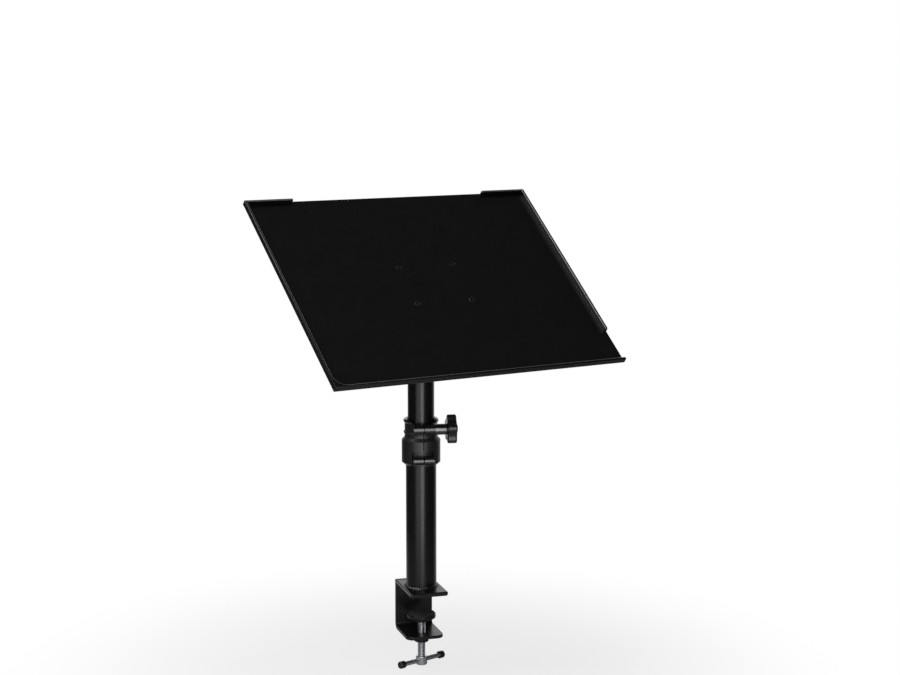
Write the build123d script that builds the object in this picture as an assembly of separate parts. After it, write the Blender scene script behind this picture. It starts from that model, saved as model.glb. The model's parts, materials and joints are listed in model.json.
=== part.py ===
from build123d import *
import os
from math import cos, radians, sin

# A laptop desk on a table clamp: a tilted tray on a telescopic tube, held by a split clamp collar,
# on a plate that is the top jaw of a screw clamp. Millimetres, +Z up.
# The origin is on the tubes' axis, at the underside of the pad that rests on the table.
# +X is to the right along the table's edge, and the user sits on the -Y side.

# Tray
TRAY_WIDTH = 400.0
TRAY_DEPTH = 300.0
TRAY_SHEET = 2.0
RIM_HEIGHT = 8.0             # above the tray's underside
RIM_WIDTH = 3.5              # the rims are hemmed: the sheet is folded back on itself
RIM_CORNER_RADIUS = 15.0     # inside the front left corner
RIM_EDGE_RADIUS = 1.2
RIGHT_RIM_START = 50.0       # the right rim begins this far behind the front edge
BACK_LIP_LENGTH = 65.0
BACK_LIP_WIDTH = 2.4
TRAY_TILT = 40.2             # degrees, the back edge up
TRAY_SWIVEL = 14.5           # degrees about the tube

# Tilt bracket under the tray
SCREW_SPACING_X = 76.0
SCREW_SPACING_Y = 60.0
BRACKET_MARGIN = 12.0        # from the screws' axes to the edges of the bracket's plate
BRACKET_SHEET = 3.0
BRACKET_CORNER = 8.0
EAR_WIDTH = 62.0             # where the ear leaves the bracket's plate
EAR_END_RADIUS = 14.0
PIVOT_DROP = 53.0            # from the tray's underside down to the tilt axis
SCREW_RADIUS = 2.0
SCREW_HEAD_RADIUS = 4.0
SCREW_HEAD_HEIGHT = 2.0
SCREW_TIP = 2.8              # of the screw, beyond its nut
SCREW_SOCKET_FLATS = 2.5
SCREW_SOCKET_DEPTH = 1.2
BRACKET_NUT_FLATS = 7.0
BRACKET_NUT_HEIGHT = 3.2

# Tilt axis
PIVOT_HEIGHT = 347.7         # above the origin, at rest
PIVOT_BOLT_RADIUS = 4.0
PIVOT_BOLT_FLATS = 13.0
PIVOT_BOLT_HEAD = 5.3
PIVOT_TIP_GAP = 1.0          # between the bolt's tip and the closed end of the tilt knob
WASHER_RADIUS = 8.0
WASHER_HEIGHT = 1.6
DISC_RADIUS = 13.0
DISC_HEIGHT = 1.4
HEAD_WIDTH = 30.0
HEAD_END_RADIUS = 13.5
HEAD_NECK = 26.0             # from the top of the tube up to the tilt axis
HEAD_FLANGE_HEIGHT = 4.0
HEAD_FLANGE_OVERHANG = 1.5
HEAD_SPIGOT = 30.0
HEAD_PIN_RADIUS = 2.5
HEAD_PIN_DROP = 15.0         # below the top of the tube

# Star knobs, on the collar and on the tilt axis
KNOB_RADIUS = 18.4
KNOB_THICKNESS = 11.5
KNOB_LOBES = 5
KNOB_LOBE_RADIUS = 5.2
KNOB_NOTCH_DEPTH = 4.6
KNOB_EDGE_RADIUS = 1.2
KNOB_CLOSED_END = 2.5        # of plastic over the thread's end
KNOB_TURN = 40.0             # degrees, of the collar knob's first lobe
TILT_KNOB_TURN = 15.0
TILT_INSERT_RADIUS = 6.5

# Tubes
UPPER_TUBE_RADIUS = 16.5
UPPER_TUBE_WALL = 2.0
UPPER_TUBE_INSERT = 82.5     # of the upper tube, below the top of the lower tube at rest
TUBE_CLEARANCE = 0.5         # radial, between the two tubes
LOWER_TUBE_WALL = 2.0
LOWER_TUBE_LENGTH = 184.0
WELD_LEG = 3.5
WELD_BULGE = 0.6             # of the bead's face, out of a flat bevel
BUSH_FLANGE = 6.0
BUSH_SPIGOT = 20.0
BUSH_WALL = 3.0

# Collar
COLLAR_TURN = -8.0           # degrees about the tube, of the slit's side
COLLAR_GRIP = 28.4           # of the lower tube, inside the collar
COLLAR_WALL = 5.0            # round the lower tube
COLLAR_FOOT_WALL = 1.0       # left at the foot, under its chamfer
COLLAR_FOOT_CHAMFER = 3.5
COLLAR_BODY_HEIGHT = 31.5
COLLAR_STEP = 0.5
COLLAR_SKIRT = 3.9
COLLAR_NECK_WALL = 3.9       # round the upper tube
COLLAR_NECK_HEIGHT = 19.8
COLLAR_SLIT = 1.5
RIDGE_RISE = 5.4             # above the skirt
RIDGE_RADIUS = 1.7
RIDGE_STANDOUT = 1.3
BEAD_RADIUS = 2.7
BEAD_STANDOFF = 2.8          # from the tube's surface to the middle of the bead
NECK_CUT_RISE = 16.0         # above the skirt, where the neck is cut away in front
NECK_CUT_HALF_WIDTH = 9.0
NECK_CUT_SPREAD = 11.0
NECK_CUT_DEPTH = 5.5         # the cut stops this far in front of the tube's middle
LUG_HALF_SPAN = 13.0
LUG_STANDOUT = 1.0           # of the lugs' axes, in front of the body's surface
LUG_WEB_INSET = 1.6          # of the web's faces, from the top and bottom of the lug
CLAMP_LUG_RADIUS = 5.9
CLAMP_LUG_RISE = 47.7        # above the collar's foot
FIXED_LUG_RADIUS = 5.0
FIXED_LUG_RISE = 8.6
POCKET_MARGIN = 1.2          # beside the lugs
POCKET_TOP = 19.0            # above the collar's foot
POCKET_FLOOR = 1.7           # of wall left behind the pocket
STUD_RADIUS = 4.0
STUD_TIP_INSET = 1.0
SPACER_RADIUS = 6.85
SPACER_LENGTH = 15.0
COLLAR_SCREW_RADIUS = 2.0
COLLAR_SCREW_HEAD_RADIUS = 3.5
COLLAR_SCREW_HEAD = 4.0
COLLAR_SCREW_RECESS = 4.6
COLLAR_SOCKET_FLATS = 3.0
COLLAR_SOCKET_DEPTH = 2.0
COLLAR_NUT_FLATS = 7.0
COLLAR_NUT_HEIGHT = 3.2
COLLAR_NUT_RECESS = 3.0
COLLAR_SCREW_TIP = 0.6       # of the screw, beyond its nut

# Plate and clamp
PLATE_SIDE_MARGIN = 1.5      # beside the tube's weld
PLATE_END_MARGIN = 15.5      # in front of the tube's weld, and behind it up to the back of the arm
PLATE_THICKNESS = 4.0
PLATE_CORNER = 2.5
PLATE_EDGE = 1.0
PAD_THICKNESS = 1.2
PAD_INSET = 0.5
ARM_THICKNESS = 4.0
ARM_BEND_RADIUS = 4.0        # on the inside
ARM_WELD_WIDTH = 2.6
ARM_WELD_DEPTH = 1.3
THROAT_HEIGHT = 55.0         # from the table's top down to the lower jaw
JAW_REACH = 22.0             # in front of the tube's axis
JAW_CORNER = 10.0
BOSS_RADIUS = 9.0
BOSS_HEIGHT = 8.0
TABLE_THICKNESS = 30.0       # what the clamp is closed on at rest
PRESSURE_DISC_RADIUS = 18.0
PRESSURE_DISC_HEIGHT = 5.0
PRESSURE_HUB_RADIUS = 8.0
PRESSURE_HUB_HEIGHT = 5.0
PRESSURE_EDGE = 1.0
DISC_PAD_THICKNESS = 1.5
DISC_PAD_INSET = 1.0
SPINDLE_RADIUS = 5.0
SPINDLE_NECK_RADIUS = 3.5
SPINDLE_NECK = 8.0
SPINDLE_RISE = 19.1          # free thread between the boss and the head, at rest
SPINDLE_HEAD_RADIUS = 7.0
SPINDLE_HEAD = 11.0
SPINDLE_HEAD_EDGE = 1.0
TEE_RADIUS = 3.0
TEE_LENGTH = 72.0
TEE_TURN = 24.0              # degrees about the spindle
TEE_CAP_RADIUS = 4.6
TEE_CAP_LENGTH = 8.0
TEE_CAP_WALL = 1.6
TEE_CAP_EDGE = 1.5

# Clearances
RUNNING = 0.06               # radial, between a shaft and the bore that it turns or slides in
LOOSE = 0.3                  # radial, round what only passes through
FACE_GAP = 0.1               # between flat faces of pieces that move past each other
FILLET_SHARE = 0.4           # the most of a wall that a fillet along its edge may take

# Sizes that follow from those above
LOWER_TUBE_RADIUS = UPPER_TUBE_RADIUS + TUBE_CLEARANCE + LOWER_TUBE_WALL
COLLAR_RADIUS = LOWER_TUBE_RADIUS + COLLAR_WALL
COLLAR_NECK_RADIUS = UPPER_TUBE_RADIUS + COLLAR_NECK_WALL
LUG_OFFSET = COLLAR_RADIUS + LUG_STANDOUT
WELD_RADIUS = LOWER_TUBE_RADIUS + WELD_LEG
PLATE_HALF_WIDTH = WELD_RADIUS + PLATE_SIDE_MARGIN
BRACKET_WIDTH = SCREW_SPACING_X + 2 * BRACKET_MARGIN
BRACKET_DEPTH = SCREW_SPACING_Y + 2 * BRACKET_MARGIN
SCREW_LENGTH = TRAY_SHEET + BRACKET_SHEET + BRACKET_NUT_HEIGHT + SCREW_TIP

# Heights and places that follow from them
PLATE_BOTTOM = PAD_THICKNESS
PLATE_TOP = PLATE_BOTTOM + PLATE_THICKNESS
LOWER_TUBE_TOP = PLATE_TOP + LOWER_TUBE_LENGTH
COLLAR_FOOT = LOWER_TUBE_TOP - COLLAR_GRIP
COLLAR_BODY_TOP = COLLAR_FOOT + COLLAR_BODY_HEIGHT
SKIRT_TOP = COLLAR_BODY_TOP + COLLAR_SKIRT
COLLAR_TOP = SKIRT_TOP + COLLAR_NECK_HEIGHT
UPPER_TUBE_TOP = PIVOT_HEIGHT - HEAD_NECK
UPPER_TUBE_FOOT = LOWER_TUBE_TOP - UPPER_TUBE_INSERT
EAR_INNER = HEAD_WIDTH / 2 + DISC_HEIGHT + 2 * FACE_GAP
EAR_OUTER = EAR_INNER + BRACKET_SHEET
PLATE_FRONT = -WELD_RADIUS - PLATE_END_MARGIN
PLATE_BACK = WELD_RADIUS + PLATE_END_MARGIN
ARM_FRONT = PLATE_BACK - ARM_THICKNESS
JAW_TOP = -THROAT_HEIGHT
JAW_BOTTOM = JAW_TOP - ARM_THICKNESS
BOSS_BOTTOM = JAW_BOTTOM - BOSS_HEIGHT
DISC_PAD_TOP = -TABLE_THICKNESS
PRESSURE_TOP = DISC_PAD_TOP - DISC_PAD_THICKNESS
HUB_BOTTOM = PRESSURE_TOP - PRESSURE_DISC_HEIGHT - PRESSURE_HUB_HEIGHT
SPINDLE_SHOULDER = HUB_BOTTOM - FACE_GAP
SPINDLE_END = BOSS_BOTTOM - SPINDLE_RISE - SPINDLE_HEAD
TEE_HEIGHT = SPINDLE_END + SPINDLE_HEAD / 2

# Places: the upper tube turns with the tray, and the tray also tilts about the pivot
SWIVEL_PLACE = Rot(0, 0, TRAY_SWIVEL)
PIVOT_PLACE = Pos(0, 0, PIVOT_HEIGHT) * SWIVEL_PLACE
TRAY_PLACE = PIVOT_PLACE * Rot(TRAY_TILT, 0, 0)
COLLAR_PLACE = Rot(0, 0, COLLAR_TURN)
TEE_PLACE = Pos(0, 0, TEE_HEIGHT) * Rot(0, 0, TEE_TURN)

ON_BASE = (Align.CENTER, Align.CENTER, Align.MIN)
EPS = 1.0                    # how far a cutting solid runs past the face that it cuts


# Simple shapes
def upright(radius, bottom, top):
    """A cylinder on the Z axis."""
    return Pos(0, 0, bottom) * Cylinder(radius, top - bottom, align=ON_BASE)


def pipe(outer, inner, bottom, top):
    """A tube on the Z axis."""
    return upright(outer, bottom, top) - upright(inner, bottom - EPS, top + EPS)


def crosswise(radius, left, right):
    """A cylinder on the X axis."""
    return Pos(left, 0, 0) * Rot(0, 90, 0) * Cylinder(radius, right - left, align=ON_BASE)


def ring_crosswise(outer, inner, left, right):
    """A tube on the X axis."""
    return crosswise(outer, left, right) - crosswise(inner, left - EPS, right + EPS)


def hexagon(flats, height):
    """A hexagonal prism that stands on the XY plane."""
    return extrude(RegularPolygon(flats / 2, 6, major_radius=False), height)


def hexagon_crosswise(flats, left, right):
    """A hexagonal prism on the X axis."""
    return Pos(left, 0, 0) * Rot(0, 90, 0) * hexagon(flats, right - left)


def block(x0, x1, y0, y1, z0, z1):
    """A box between two corners."""
    middle = Pos((x0 + x1) / 2, (y0 + y1) / 2, (z0 + z1) / 2)
    return middle * Box(x1 - x0, y1 - y0, z1 - z0)


# Tray: the local frame has its origin at the pivot, X along the tilt axis and Z square to the tray
def rim_outline():
    """The rim on the left and front, seen from above, with its rounded inner corner."""
    x0, x1 = -TRAY_WIDTH / 2, TRAY_WIDTH / 2
    y0, y1 = -TRAY_DEPTH / 2, TRAY_DEPTH / 2
    corner = (x0 + RIM_WIDTH, y0 + RIM_WIDTH)
    points = [(x0, y0), (x1, y0), (x1, corner[1]), corner, (corner[0], y1), (x0, y1)]
    outline = make_face(Polyline(*points, close=True))
    inner = outline.vertices().sort_by_distance((corner[0], corner[1], 0))[0]
    return fillet(inner, RIM_CORNER_RADIUS)


def rounded_rim(solid):
    """Rounds the long upper edges of a rim, as a folded sheet's are."""
    top = solid.edges().filter_by_position(Axis.Z, RIM_HEIGHT, RIM_HEIGHT)
    return fillet(top, min(RIM_EDGE_RADIUS, FILLET_SHARE * min(RIM_WIDTH, BACK_LIP_WIDTH, RIM_HEIGHT)))


def screw_places():
    """The four screws that hold the bracket, at the tray's floor."""
    x, y = SCREW_SPACING_X / 2, SCREW_SPACING_Y / 2
    floor = PIVOT_DROP + TRAY_SHEET
    return [Pos(-x, -y, floor), Pos(-x, y, floor), Pos(x, -y, floor), Pos(x, y, floor)]


def screw_body(grow=0.0):
    """A countersunk screw, head up, its flat top on the XY plane."""
    head = Cone(SCREW_RADIUS + grow, SCREW_HEAD_RADIUS + grow, SCREW_HEAD_HEIGHT, align=ON_BASE)
    shank = upright(SCREW_RADIUS + grow, -SCREW_LENGTH - grow, -SCREW_HEAD_HEIGHT / 2)
    return Pos(0, 0, -SCREW_HEAD_HEIGHT) * head + shank


def make_tray():
    x0, x1 = -TRAY_WIDTH / 2, TRAY_WIDTH / 2
    y0, y1 = -TRAY_DEPTH / 2, TRAY_DEPTH / 2
    floor = block(x0, x1, y0, y1, 0, TRAY_SHEET)
    long_rim = rounded_rim(extrude(rim_outline(), RIM_HEIGHT))
    right_rim = rounded_rim(block(x1 - RIM_WIDTH, x1, y0 + RIGHT_RIM_START, y1, 0, RIM_HEIGHT))
    left_lip = rounded_rim(block(x0, x0 + BACK_LIP_LENGTH, y1 - BACK_LIP_WIDTH, y1, 0, RIM_HEIGHT))
    right_lip = rounded_rim(block(x1 - BACK_LIP_LENGTH, x1, y1 - BACK_LIP_WIDTH, y1, 0, RIM_HEIGHT))
    tray = Pos(0, 0, PIVOT_DROP) * (floor + long_rim + right_rim + left_lip + right_lip)
    for place in screw_places():
        tray -= place * screw_body(RUNNING)
    return TRAY_PLACE * tray


def make_bracket():
    top = PIVOT_DROP
    under = top - BRACKET_SHEET
    plate = extrude(RectangleRounded(BRACKET_WIDTH, BRACKET_DEPTH, BRACKET_CORNER), BRACKET_SHEET)
    wide, narrow = EAR_WIDTH / 2, EAR_END_RADIUS
    side = Polygon((-wide, under), (-narrow, 0), (narrow, 0), (wide, under), align=None)
    side += Circle(EAR_END_RADIUS)
    bracket = Pos(0, 0, under) * plate
    for left in (-EAR_OUTER, EAR_INNER):
        bracket += Pos(left, 0, 0) * extrude(Plane.YZ * side, BRACKET_SHEET)
    bracket -= crosswise(PIVOT_BOLT_RADIUS + RUNNING, -EAR_OUTER - EPS, EAR_OUTER + EPS)
    for place in screw_places():
        bracket -= place * screw_body(RUNNING)
    return TRAY_PLACE * bracket


def make_bracket_screws():
    socket = Pos(0, 0, -SCREW_SOCKET_DEPTH) * hexagon(SCREW_SOCKET_FLATS, SCREW_SOCKET_DEPTH + EPS)
    screw = screw_body() - socket
    return Compound([TRAY_PLACE * place * screw for place in screw_places()])


def make_bracket_nuts():
    drop = TRAY_SHEET + BRACKET_SHEET + BRACKET_NUT_HEIGHT
    bore = upright(SCREW_RADIUS, -EPS, BRACKET_NUT_HEIGHT + EPS)
    nut = Pos(0, 0, -drop) * (hexagon(BRACKET_NUT_FLATS, BRACKET_NUT_HEIGHT) - bore)
    return Compound([TRAY_PLACE * place * nut for place in screw_places()])


# Tilt axis: bolt, washers, discs and knob, on the X axis of the tray's frame
def make_pivot_bolt():
    under_head = -EAR_OUTER - WASHER_HEIGHT
    tip = knob_inner_face() + KNOB_THICKNESS - KNOB_CLOSED_END - PIVOT_TIP_GAP
    head = hexagon_crosswise(PIVOT_BOLT_FLATS, under_head - PIVOT_BOLT_HEAD, under_head)
    return TRAY_PLACE * (head + crosswise(PIVOT_BOLT_RADIUS, under_head - EPS, tip))


def make_bolt_washer():
    washer = ring_crosswise(WASHER_RADIUS, PIVOT_BOLT_RADIUS + LOOSE, -EAR_OUTER - WASHER_HEIGHT, -EAR_OUTER)
    return TRAY_PLACE * washer


def make_knob_washer():
    inner_face = EAR_OUTER + FACE_GAP
    washer = ring_crosswise(WASHER_RADIUS, PIVOT_BOLT_RADIUS + LOOSE, inner_face, inner_face + WASHER_HEIGHT)
    return TRAY_PLACE * washer


def make_friction_discs():
    inner_face = HEAD_WIDTH / 2 + FACE_GAP
    right = ring_crosswise(DISC_RADIUS, PIVOT_BOLT_RADIUS + LOOSE, inner_face, inner_face + DISC_HEIGHT)
    return Compound([TRAY_PLACE * right, TRAY_PLACE * Rot(0, 0, 180) * right])


def star_outline(turn):
    """Lobes joined by notches, all arcs and each tangent to the next; turn places the first lobe."""
    lobe_circle = KNOB_RADIUS - KNOB_LOBE_RADIUS
    half_step = 180 / KNOB_LOBES
    along = lobe_circle * cos(radians(half_step))
    across = lobe_circle * sin(radians(half_step))
    rise = KNOB_RADIUS - KNOB_NOTCH_DEPTH - along
    notch_radius = (rise**2 + across**2 - KNOB_LOBE_RADIUS**2) / (2 * (KNOB_LOBE_RADIUS - rise))
    notch_circle = KNOB_RADIUS - KNOB_NOTCH_DEPTH + notch_radius
    share = KNOB_LOBE_RADIUS / (KNOB_LOBE_RADIUS + notch_radius)
    touch = Vector(along + share * (notch_circle - along), across * (1 - share))
    arcs = []
    for k in range(KNOB_LOBES):
        lobe = turn + k * 2 * half_step
        before, after = lobe - half_step, lobe + half_step
        start = touch.rotate(Axis.Z, before)
        end = Vector(touch.X, -touch.Y).rotate(Axis.Z, after)
        next_start = touch.rotate(Axis.Z, after)
        tip = Vector(KNOB_RADIUS, 0).rotate(Axis.Z, lobe)
        valley = Vector(KNOB_RADIUS - KNOB_NOTCH_DEPTH, 0).rotate(Axis.Z, after)
        arcs += [ThreePointArc(start, tip, end), ThreePointArc(end, valley, next_start)]
    return make_face(arcs)


def star_knob(turn):
    """A star knob on the X axis, its inner face on the YZ plane and its closed end to +X."""
    knob = extrude(star_outline(turn), KNOB_THICKNESS)
    rims = knob.edges().group_by(Axis.Z)
    return Rot(0, 90, 0) * fillet(rims[0] + rims[-1], min(KNOB_EDGE_RADIUS, FILLET_SHARE * KNOB_THICKNESS))


def knob_inner_face():
    """Where the tilt knob starts, on the X axis of the tray's frame."""
    return EAR_OUTER + WASHER_HEIGHT + 2 * FACE_GAP


def make_tilt_knob():
    pocket = crosswise(TILT_INSERT_RADIUS, -EPS, KNOB_THICKNESS - KNOB_CLOSED_END)
    return TRAY_PLACE * Pos(knob_inner_face(), 0, 0) * (star_knob(TILT_KNOB_TURN) - pocket)


def make_tilt_insert():
    depth = KNOB_THICKNESS - KNOB_CLOSED_END
    insert = ring_crosswise(TILT_INSERT_RADIUS, PIVOT_BOLT_RADIUS + RUNNING, 0, depth)
    return TRAY_PLACE * Pos(knob_inner_face(), 0, 0) * insert


# Head and upper tube
def make_tilt_head():
    spigot = upright(UPPER_TUBE_RADIUS - UPPER_TUBE_WALL, UPPER_TUBE_TOP - HEAD_SPIGOT, UPPER_TUBE_TOP)
    flange_radius = UPPER_TUBE_RADIUS + HEAD_FLANGE_OVERHANG
    flange = upright(flange_radius, UPPER_TUBE_TOP, UPPER_TUBE_TOP + HEAD_FLANGE_HEIGHT)
    flange = chamfer(flange.edges().group_by(Axis.Z)[-1], HEAD_FLANGE_OVERHANG / 2)
    half = HEAD_WIDTH / 2
    boss = block(-half, half, -HEAD_END_RADIUS, HEAD_END_RADIUS, HEAD_FLANGE_HEIGHT - HEAD_NECK, 0)
    boss &= upright(flange_radius, -HEAD_NECK, EPS)
    boss += crosswise(HEAD_END_RADIUS, -half, half)
    boss -= crosswise(PIVOT_BOLT_RADIUS + RUNNING, -half - EPS, half + EPS)
    head = spigot + flange + PIVOT_PLACE * boss
    return head - head_pin_shape()


def head_pin_shape():
    """The cross pin through tube and head, cut flush with the tube's surface."""
    pin = crosswise(HEAD_PIN_RADIUS, -UPPER_TUBE_RADIUS, UPPER_TUBE_RADIUS)
    placed = SWIVEL_PLACE * Pos(0, 0, UPPER_TUBE_TOP - HEAD_PIN_DROP) * pin
    return placed & upright(UPPER_TUBE_RADIUS, UPPER_TUBE_FOOT, UPPER_TUBE_TOP)


def make_upper_tube():
    tube = pipe(UPPER_TUBE_RADIUS, UPPER_TUBE_RADIUS - UPPER_TUBE_WALL, UPPER_TUBE_FOOT, UPPER_TUBE_TOP)
    return tube - head_pin_shape()


def make_guide_bush():
    """Carries the upper tube's foot and slides in the lower tube; the tube turns on its spigot."""
    flange_top = UPPER_TUBE_FOOT - FACE_GAP
    foot, top = flange_top - BUSH_FLANGE, flange_top + BUSH_SPIGOT
    spigot_radius = UPPER_TUBE_RADIUS - UPPER_TUBE_WALL - RUNNING
    bush = upright(LOWER_TUBE_RADIUS - LOWER_TUBE_WALL - RUNNING, foot, flange_top)
    bush += upright(spigot_radius, flange_top, top)
    return bush - upright(spigot_radius - BUSH_WALL, foot - EPS, top + EPS)


# Lower tube and its weld
def make_lower_tube():
    return pipe(LOWER_TUBE_RADIUS, LOWER_TUBE_RADIUS - LOWER_TUBE_WALL, PLATE_TOP, LOWER_TUBE_TOP)


def make_tube_weld():
    """A fillet weld: three sides, the outer one bulging a little."""
    root = (LOWER_TUBE_RADIUS, PLATE_TOP)
    foot = (WELD_RADIUS, PLATE_TOP)
    head = (LOWER_TUBE_RADIUS, PLATE_TOP + WELD_LEG)
    middle = WELD_LEG / 2 + WELD_BULGE * cos(radians(45))
    bulge = (LOWER_TUBE_RADIUS + middle, PLATE_TOP + middle)
    section = make_face([Line(root, foot), ThreePointArc(foot, bulge, head), Line(head, root)])
    return revolve(Plane.XZ * section, Axis.Z)


# Collar: the local frame has its slit towards -Y
def ring(major, minor, height):
    return Pos(0, 0, height) * Torus(major, minor)


def collar_shell():
    """The turned shape: foot chamfer, body, skirt and neck, with a ridge and a bead round the neck."""
    foot_radius = LOWER_TUBE_RADIUS + COLLAR_FOOT_WALL
    step_radius = COLLAR_RADIUS - COLLAR_STEP
    outline = Polyline(
        (0, COLLAR_FOOT),
        (foot_radius, COLLAR_FOOT),
        (COLLAR_RADIUS, COLLAR_FOOT + COLLAR_FOOT_CHAMFER),
        (COLLAR_RADIUS, COLLAR_BODY_TOP),
        (step_radius, COLLAR_BODY_TOP),
        (COLLAR_NECK_RADIUS, SKIRT_TOP),
        (COLLAR_NECK_RADIUS, COLLAR_TOP),
        (0, COLLAR_TOP),
        close=True,
    )
    shell = revolve(Plane.XZ * make_face(outline), Axis.Z)
    ridge_major = COLLAR_NECK_RADIUS + RIDGE_STANDOUT - RIDGE_RADIUS
    shell += ring(ridge_major, RIDGE_RADIUS, SKIRT_TOP + RIDGE_RISE)
    return shell + ring(UPPER_TUBE_RADIUS + BEAD_STANDOFF, BEAD_RADIUS, COLLAR_TOP)


def neck_cut():
    """Opens the neck in front, above the clamping lugs; its sides spread upwards."""
    low, high = SKIRT_TOP + NECK_CUT_RISE, COLLAR_TOP + BEAD_RADIUS + EPS
    near, far = NECK_CUT_HALF_WIDTH, NECK_CUT_HALF_WIDTH + NECK_CUT_SPREAD
    face = Polygon((-near, low), (near, low), (far, high), (-far, high), align=None)
    depth = COLLAR_RADIUS + LUG_OFFSET
    return Pos(0, -NECK_CUT_DEPTH, 0) * extrude(Plane.XZ * face, depth)


def pocket_cut():
    """The recess in front of the body that takes the lower pair of lugs."""
    front = -COLLAR_RADIUS - EPS
    foot = COLLAR_FOOT - EPS
    half = LUG_HALF_SPAN + POCKET_MARGIN
    pocket = block(-half, half, front, 0, foot, COLLAR_FOOT + POCKET_TOP)
    return pocket - upright(LOWER_TUBE_RADIUS + POCKET_FLOOR, foot - EPS, COLLAR_TOP)


def lug_pair(radius, height):
    """Two lugs in one line across the slit, joined to the collar's wall by a web."""
    barrel = Pos(0, -LUG_OFFSET, height) * crosswise(radius, -LUG_HALF_SPAN, LUG_HALF_SPAN)
    web = radius - LUG_WEB_INSET
    return barrel + block(-LUG_HALF_SPAN, LUG_HALF_SPAN, -LUG_OFFSET, 0, height - web, height + web)


def make_collar():
    clamp_height = COLLAR_FOOT + CLAMP_LUG_RISE
    fixed_height = COLLAR_FOOT + FIXED_LUG_RISE
    below = COLLAR_FOOT - FIXED_LUG_RADIUS - EPS
    above = COLLAR_TOP + BEAD_RADIUS + CLAMP_LUG_RADIUS + EPS
    collar = collar_shell() - neck_cut() - pocket_cut()
    collar += lug_pair(CLAMP_LUG_RADIUS, clamp_height)
    collar += lug_pair(FIXED_LUG_RADIUS, fixed_height)
    collar -= upright(LOWER_TUBE_RADIUS, below, LOWER_TUBE_TOP)
    collar -= upright(UPPER_TUBE_RADIUS + RUNNING, LOWER_TUBE_TOP - EPS, above)
    slit_front = -LUG_OFFSET - CLAMP_LUG_RADIUS - EPS
    collar -= block(-COLLAR_SLIT / 2, COLLAR_SLIT / 2, slit_front, 0, below, above)
    clamp_axis = Pos(0, -LUG_OFFSET, clamp_height)
    collar -= clamp_axis * crosswise(STUD_RADIUS + RUNNING, -LUG_HALF_SPAN - EPS, LUG_HALF_SPAN + EPS)
    fixed_axis = Pos(0, -LUG_OFFSET, fixed_height)
    collar -= fixed_axis * crosswise(COLLAR_SCREW_RADIUS, -LUG_HALF_SPAN - EPS, LUG_HALF_SPAN + EPS)
    head_seat = LUG_HALF_SPAN - COLLAR_SCREW_RECESS
    collar -= fixed_axis * crosswise(COLLAR_SCREW_HEAD_RADIUS + RUNNING, head_seat, LUG_HALF_SPAN + EPS)
    nut_seat = COLLAR_NUT_RECESS - LUG_HALF_SPAN
    collar -= fixed_axis * hexagon_crosswise(COLLAR_NUT_FLATS, -LUG_HALF_SPAN - EPS, nut_seat)
    return COLLAR_PLACE * collar


def fixed_lug_place():
    return COLLAR_PLACE * Pos(0, -LUG_OFFSET, COLLAR_FOOT + FIXED_LUG_RISE)


def clamp_lug_place():
    return COLLAR_PLACE * Pos(0, -LUG_OFFSET, COLLAR_FOOT + CLAMP_LUG_RISE)


def make_collar_bolt():
    head_seat = LUG_HALF_SPAN - COLLAR_SCREW_RECESS
    nut_seat = COLLAR_NUT_RECESS - LUG_HALF_SPAN
    tip = nut_seat - COLLAR_NUT_HEIGHT - COLLAR_SCREW_TIP
    head_end = head_seat + COLLAR_SCREW_HEAD
    screw = crosswise(COLLAR_SCREW_RADIUS, tip, head_seat + EPS)
    screw += crosswise(COLLAR_SCREW_HEAD_RADIUS, head_seat, head_end)
    screw -= hexagon_crosswise(COLLAR_SOCKET_FLATS, head_end - COLLAR_SOCKET_DEPTH, head_end + EPS)
    return fixed_lug_place() * screw


def make_collar_nut():
    nut_seat = COLLAR_NUT_RECESS - LUG_HALF_SPAN
    nut = hexagon_crosswise(COLLAR_NUT_FLATS, nut_seat - COLLAR_NUT_HEIGHT, nut_seat)
    nut -= crosswise(COLLAR_SCREW_RADIUS, nut_seat - COLLAR_NUT_HEIGHT - EPS, nut_seat + EPS)
    return fixed_lug_place() * nut


# Collar knob, on the X axis of the upper lugs
def collar_knob_start():
    return LUG_HALF_SPAN + SPACER_LENGTH + 2 * FACE_GAP


def make_knob_spacer():
    start = LUG_HALF_SPAN + FACE_GAP
    spacer = ring_crosswise(SPACER_RADIUS, STUD_RADIUS + LOOSE, start, start + SPACER_LENGTH)
    return clamp_lug_place() * spacer


def make_collar_knob():
    pocket = crosswise(STUD_RADIUS, -EPS, KNOB_THICKNESS - KNOB_CLOSED_END)
    knob = star_knob(KNOB_TURN) - pocket
    return clamp_lug_place() * Pos(collar_knob_start(), 0, 0) * knob


def make_knob_stud():
    tip = STUD_TIP_INSET - LUG_HALF_SPAN
    end = collar_knob_start() + KNOB_THICKNESS - KNOB_CLOSED_END
    return clamp_lug_place() * crosswise(STUD_RADIUS, tip, end)


# Plate and clamp
def make_base_plate():
    plate = block(-PLATE_HALF_WIDTH, PLATE_HALF_WIDTH, PLATE_FRONT, ARM_FRONT, PLATE_BOTTOM, PLATE_TOP)
    corners = plate.edges().filter_by(Axis.Z).group_by(Axis.Y)[0]
    plate = fillet(corners, PLATE_CORNER)
    top = plate.faces().sort_by(Axis.Z)[-1]
    rim = top.edges().sort_by(Axis.Y)[:-1]
    return chamfer(rim, PLATE_EDGE) - weld_groove()


def weld_groove():
    """The V-shaped groove along the seam between the plate and the arm, which the weld fills."""
    wide, deep = ARM_WELD_WIDTH / 2, ARM_WELD_DEPTH
    points = [(ARM_FRONT - wide, PLATE_TOP), (ARM_FRONT + wide, PLATE_TOP), (ARM_FRONT, PLATE_TOP - deep)]
    vee = Polygon(*points, align=None)
    return extrude(Plane.YZ * vee, PLATE_HALF_WIDTH, both=True)


def make_arm_weld():
    return weld_groove()


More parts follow.
